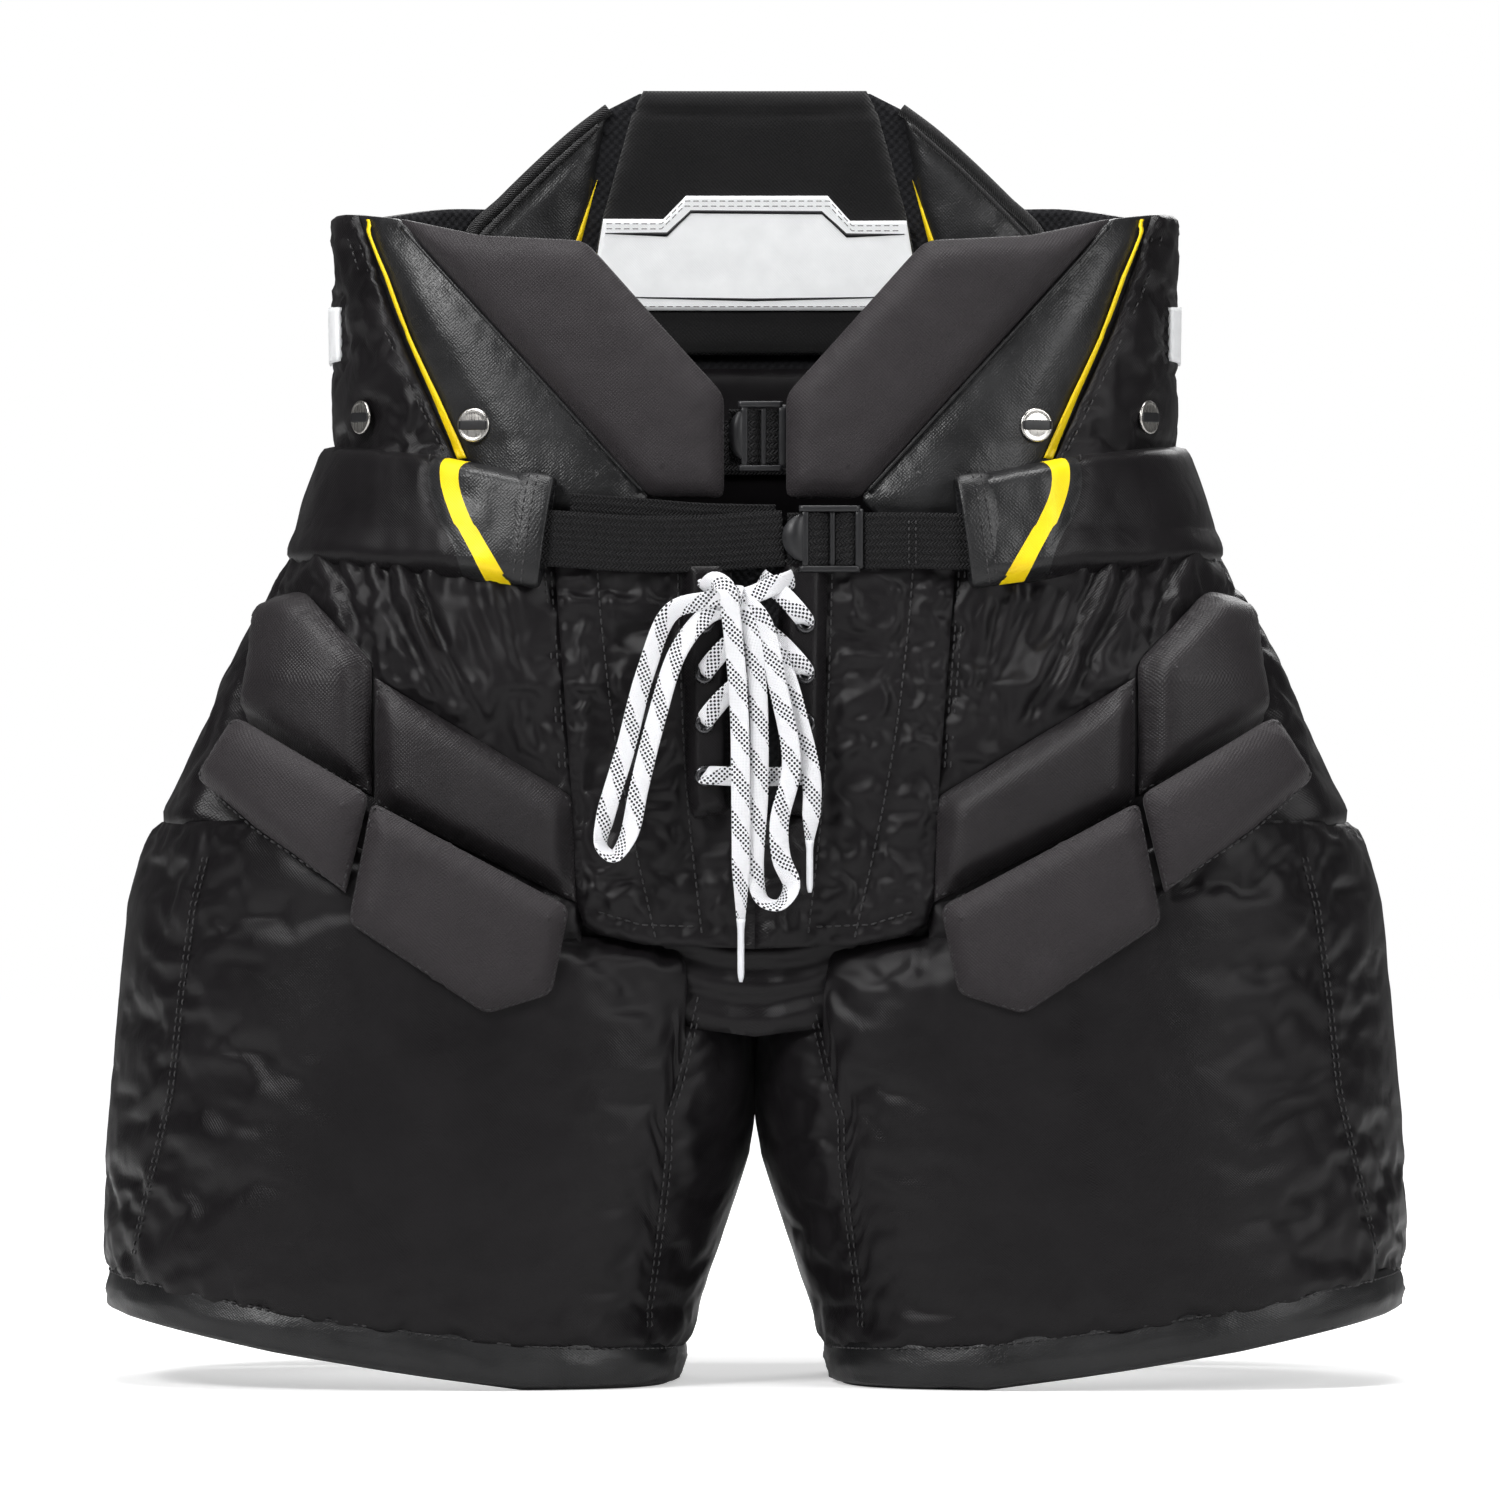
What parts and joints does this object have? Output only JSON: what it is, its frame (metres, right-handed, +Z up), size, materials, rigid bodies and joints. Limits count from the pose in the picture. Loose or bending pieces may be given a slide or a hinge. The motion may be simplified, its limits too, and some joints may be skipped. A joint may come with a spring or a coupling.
{
  "type": "hockey pants",
  "caption": "Padded goalkeeper hockey pants with laced fly, strap belt, hinged pad flaps, spine riser and two wide splaying legs.",
  "frame": {"origin": "centre of the bounding box on the surface that the hems stand on", "axes": "+Z up to the waist, -Y out of the laced front, +X to the wearer's left"},
  "size_m": [0.6522, 0.3013, 0.6578],
  "materials": {
    "nylon_shell": "plain woven nylon with a soft sheen",
    "pad_fabric": "fine matt weave over foam",
    "leatherette": "embossed leatherette, soft gloss",
    "spine_knit": "brushed matt knit",
    "white_label": "white coated label cloth",
    "yellow_trim": "yellow coated trim strip",
    "mesh_liner": "spacer mesh lining",
    "webbing": "coarse herringbone webbing",
    "buckle_plastic": "moulded matt plastic",
    "button_metal": "brushed nickel",
    "eyelet_metal": "black lacquered brass",
    "lace": "flat woven lace with dotted bands",
    "aglet_plastic": "clear shrink tip",
    "guard_foam": "closed-cell foam"
  },
  "bodies": {
    "waist": {"waist_side_left": "nylon_shell", "waist_side_right": "nylon_shell", "hip_shell_left": "nylon_shell", "hip_shell_right": "nylon_shell", "fly_left": "nylon_shell", "fly_right": "nylon_shell", "waist_back": "nylon_shell", "seat_panel": "nylon_shell", "fly_tongue": "nylon_shell", "crotch_gusset": "nylon_shell", "hip_pad_left": "pad_fabric", "hip_pad_right": "pad_fabric", "thigh_pad_left": "pad_fabric", "thigh_pad_right": "pad_fabric", "waist_leather_left": "leatherette", "waist_leather_right": "leatherette", "belt_wing_left": "leatherette", "belt_wing_right": "leatherette", "belt_strap": "webbing", "strap_anchor": "webbing", "inner_belt": "webbing", "button_inner_left": "button_metal", "button_inner_right": "button_metal", "button_outer_left": "button_metal", "button_outer_right": "button_metal", "eyelet_row_left": "eyelet_metal", "eyelet_row_right": "eyelet_metal", "lace_cross_right_2": "lace", "lace_cross_right_3": "lace", "lace_cross_left_1": "lace", "lace_cross_left_2": "lace", "lace_bar": "lace", "lace_knot": "lace", "lace_loop_left": "lace", "lace_loop_right": "lace", "lace_tail_left": "lace", "lace_tail_right": "lace", "aglet_left": "aglet_plastic", "aglet_right": "aglet_plastic"},
    "spine_guard": {"spine_pad": "spine_knit", "spine_wing_left": "leatherette", "spine_wing_right": "leatherette", "back_label": "white_label"},
    "strap_tail": {"strap_tail": "webbing"},
    "buckle": {"buckle": "buckle_plastic"},
    "inner_buckle": {"inner_buckle": "buckle_plastic"},
    "leg_left": {"leg_shell_left": "nylon_shell", "hem_left": "leatherette", "thigh_guard_left": "guard_foam"},
    "front_flap_left": {"front_flap_left": "pad_fabric"},
    "thigh_flap_left": {"thigh_flap_left": "pad_fabric"},
    "side_flap_left": {"side_flap_left": "pad_fabric"},
    "leg_right": {"leg_shell_right": "nylon_shell", "hem_right": "leatherette", "thigh_guard_right": "guard_foam"},
    "front_flap_right": {"front_flap_right": "pad_fabric"},
    "thigh_flap_right": {"thigh_flap_right": "pad_fabric"},
    "side_flap_right": {"side_flap_right": "pad_fabric"}
  },
  "joints": [
    {"name": "leg_left_splay", "type": "hinge", "parent": "waist", "child": "leg_left", "pos_m": [0.15, 0, 0.29], "axis": [0, -1, 0], "range_deg": [0, 10]},
    {"name": "front_flap_left_fold", "type": "hinge", "parent": "waist", "child": "front_flap_left", "pos_m": [0.18, -0.08963, 0.583], "axis": [0.6592, 0.2137, 0.721], "range_deg": [0, 30]},
    {"name": "thigh_flap_left_lift", "type": "hinge", "parent": "waist", "child": "thigh_flap_left", "pos_m": [0.094, -0.1518, 0.232], "axis": [-0.8739, 0, -0.486], "range_deg": [0, 35]},
    {"name": "side_flap_left_lift", "type": "hinge", "parent": "waist", "child": "side_flap_left", "pos_m": [0.1905, -0.15683, 0.288], "axis": [-0.8054, -0.3551, -0.4745], "range_deg": [0, 25]},
    {"name": "leg_right_splay", "type": "hinge", "parent": "waist", "child": "leg_right", "pos_m": [-0.15, 0, 0.29], "axis": [0, 1, 0], "range_deg": [0, 10]},
    {"name": "front_flap_right_fold", "type": "hinge", "parent": "waist", "child": "front_flap_right", "pos_m": [-0.18, -0.08963, 0.583], "axis": [0.6592, -0.2137, -0.721], "range_deg": [0, 30]},
    {"name": "thigh_flap_right_lift", "type": "hinge", "parent": "waist", "child": "thigh_flap_right", "pos_m": [-0.094, -0.1518, 0.232], "axis": [-0.8739, 0, 0.486], "range_deg": [0, 35]},
    {"name": "side_flap_right_lift", "type": "hinge", "parent": "waist", "child": "side_flap_right", "pos_m": [-0.1905, -0.15683, 0.288], "axis": [-0.8054, 0.3551, 0.4745], "range_deg": [0, 25]},
    {"name": "spine_guard_tilt", "type": "hinge", "parent": "waist", "child": "spine_guard", "pos_m": [0, 0.095, 0.594], "axis": [-1, 0, 0], "range_deg": [0, 12]},
    {"name": "buckle_release", "type": "hinge", "parent": "waist", "child": "buckle", "pos_m": [0.0537, -0.1305, 0.421], "axis": [0, 0, 1], "range_deg": [0, 30]},
    {"name": "inner_buckle_release", "type": "hinge", "parent": "waist", "child": "inner_buckle", "pos_m": [0.0152, -0.1002, 0.4735], "axis": [0, 0, -1], "range_deg": [0, 30]},
    {"name": "strap_tail_slide", "type": "slide", "parent": "waist", "child": "strap_tail", "axis": [-1, 0, 0], "range_m": [0, 0.015]}
  ]
}
